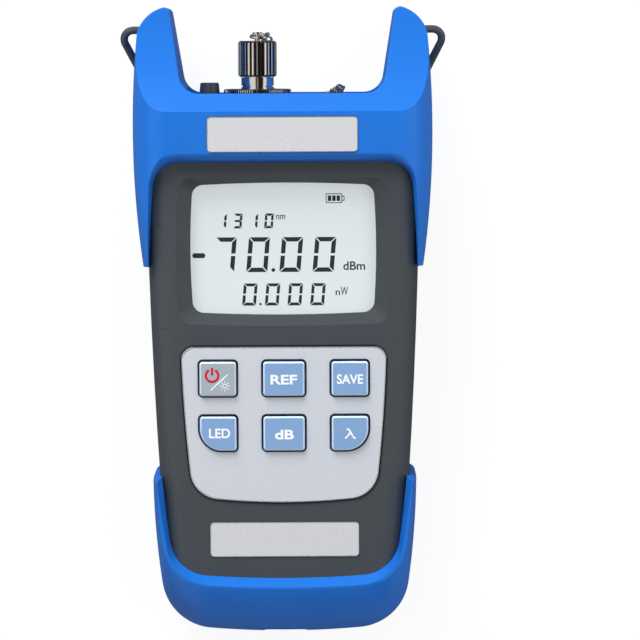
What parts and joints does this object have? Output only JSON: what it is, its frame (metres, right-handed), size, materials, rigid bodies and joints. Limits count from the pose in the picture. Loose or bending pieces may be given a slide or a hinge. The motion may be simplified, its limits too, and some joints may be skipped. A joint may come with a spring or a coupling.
{
  "type": "optical power meter",
  "caption": "Handheld optical power meter with horned bumper, display, keypad, capped fibre port, torch and folding wire bail.",
  "frame": {"origin": "under the middle of the meter, on the surface it lies on", "axes": "+X to the user's right, +Y from the boot to the horns, +Z out of the front face; the meter lies on its back"},
  "size_m": [0.091, 0.1746, 0.0402],
  "materials": {
    "guard_blue": "satin",
    "housing_grey": "fine matt",
    "key_blue": "satin",
    "key_grey": "satin",
    "plate_silver": "satin",
    "label_silver": "brushed",
    "window_clear": "polished, clear",
    "lcd_glass": "polished",
    "light_panel": "frosted",
    "carrier_white": "satin",
    "rubber_black": "matt",
    "board_green": "satin",
    "chip_black": "matt",
    "plated_steel": "bright plated",
    "nickel": "polished",
    "black_wire": "satin",
    "ceramic_white": "polished",
    "cell_silver": "satin",
    "torch_black": "satin",
    "lamp_clear": "clear",
    "detector_metal": "machined"
  },
  "bodies": {
    "root": {"alignment_sleeve": "ceramic_white", "backlight_panel": "light_panel", "battery_cell": "cell_silver", "battery_cover": "housing_grey", "battery_cover_screw": "plated_steel", "board_chips": "chip_black", "bottom_guard": "guard_blue", "bottom_label_plate": "label_silver", "cap_chain": "nickel", "chain_screw": "nickel", "charging_socket": "plated_steel", "detector_block": "detector_metal", "detector_can": "detector_metal", "display_window": "window_clear", "fibre_adapter": "nickel", "front_shell": "housing_grey", "key_plate": "plate_silver", "keypad_mat": "rubber_black", "lcd_frame": "carrier_white", "lcd_glass": "lcd_glass", "main_board": "board_green", "port_disc": "nickel", "rear_shell": "housing_grey", "shell_screws": "plated_steel", "socket_tongue": "chip_black", "tact_switches": "chip_black", "top_guard": "guard_blue", "top_label_plate": "label_silver", "torch_bezel": "torch_black", "torch_lamp": "lamp_clear", "window_gasket": "rubber_black"},
    "power_button": {"power_key": "key_grey"},
    "ref_button": {"ref_key": "key_blue"},
    "save_button": {"save_key": "key_blue"},
    "led_button": {"led_key": "key_blue"},
    "db_button": {"db_key": "key_blue"},
    "wavelength_button": {"wavelength_key": "key_blue"},
    "bail": {"wire_bail": "black_wire"},
    "cap_swivel": {"swivel_pin": "nickel", "cap_ring": "nickel"},
    "cap": {"dust_cap": "nickel"}
  },
  "joints": [
    {"name": "power_press", "type": "slide", "parent": "root", "child": "power_button", "axis": [0, 0, -1], "range_m": [0, 0.0006], "stiffness_N_per_m": 800},
    {"name": "ref_press", "type": "slide", "parent": "root", "child": "ref_button", "axis": [0, 0, -1], "range_m": [0, 0.0006], "stiffness_N_per_m": 800},
    {"name": "save_press", "type": "slide", "parent": "root", "child": "save_button", "axis": [0, 0, -1], "range_m": [0, 0.0006], "stiffness_N_per_m": 800},
    {"name": "led_press", "type": "slide", "parent": "root", "child": "led_button", "axis": [0, 0, -1], "range_m": [0, 0.0006], "stiffness_N_per_m": 800},
    {"name": "db_press", "type": "slide", "parent": "root", "child": "db_button", "axis": [0, 0, -1], "range_m": [0, 0.0006], "stiffness_N_per_m": 800},
    {"name": "wavelength_press", "type": "slide", "parent": "root", "child": "wavelength_button", "axis": [0, 0, -1], "range_m": [0, 0.0006], "stiffness_N_per_m": 800},
    {"name": "bail_swing", "type": "hinge", "parent": "root", "child": "bail", "pos_m": [0, 0.0811, 0.0115], "axis": [1, 0, 0], "range_deg": [0, 180]},
    {"name": "cap_lift", "type": "slide", "parent": "root", "child": "cap_swivel", "axis": [0, 1, 0], "range_m": [0, 0.006], "deforming": ["cap_chain"]},
    {"name": "cap_turn", "type": "hinge", "parent": "cap_swivel", "child": "cap", "pos_m": [-0.007, 0.072, 0.02], "axis": [0, 1, 0], "range_deg": [0, 2880]}
  ],
  "couplings": [
    {"joint": "cap_turn", "follows": "cap_lift", "rad_per_m": 8377.5}
  ]
}
